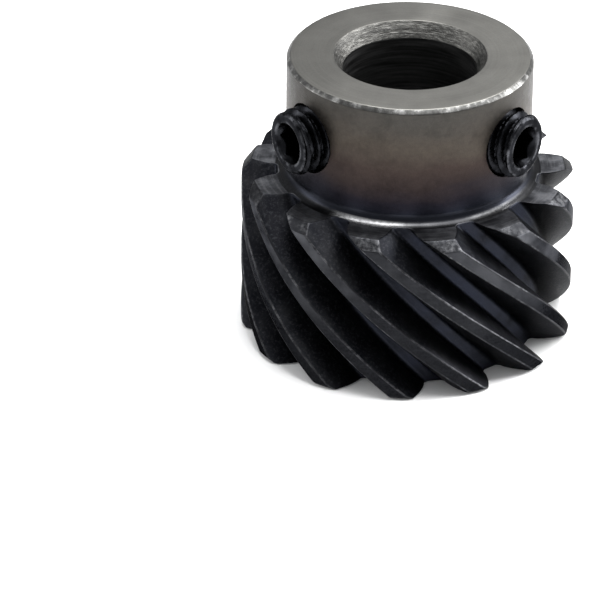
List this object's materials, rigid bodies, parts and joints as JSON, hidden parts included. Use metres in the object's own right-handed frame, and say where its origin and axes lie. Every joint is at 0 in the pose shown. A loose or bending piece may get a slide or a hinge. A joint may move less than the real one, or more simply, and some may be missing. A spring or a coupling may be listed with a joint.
{
  "type": "helical gear with hub and set screws",
  "caption": "Left-hand helical gear with a stepped hub, a chamfered shaft bore and hexagon-socket set screws in the hub.",
  "frame": {"origin": "centre of the gear's plain end face, on the bore's axis", "axes": "+Z along the bore's axis, from the teeth towards the hub; -Y midway between the two set screws"},
  "size_m": [0.03, 0.03, 0.0268],
  "materials": {
    "gear_steel": "black-oxide teeth with bare turned hub face",
    "screw_steel": "glossy black oxide"
  },
  "bodies": {
    "gear": {"gear": "gear_steel"},
    "left_screw": {"set_screw_left": "screw_steel"},
    "right_screw": {"set_screw_right": "screw_steel"}
  },
  "joints": [
    {"name": "left_screw_travel", "type": "slide", "parent": "gear", "child": "left_screw", "axis": [0.8192, 0.5736, 0], "range_m": [-0.002, 0.001]},
    {"name": "right_screw_travel", "type": "slide", "parent": "gear", "child": "right_screw", "axis": [-0.8192, 0.5736, 0], "range_m": [-0.002, 0.0006]}
  ]
}
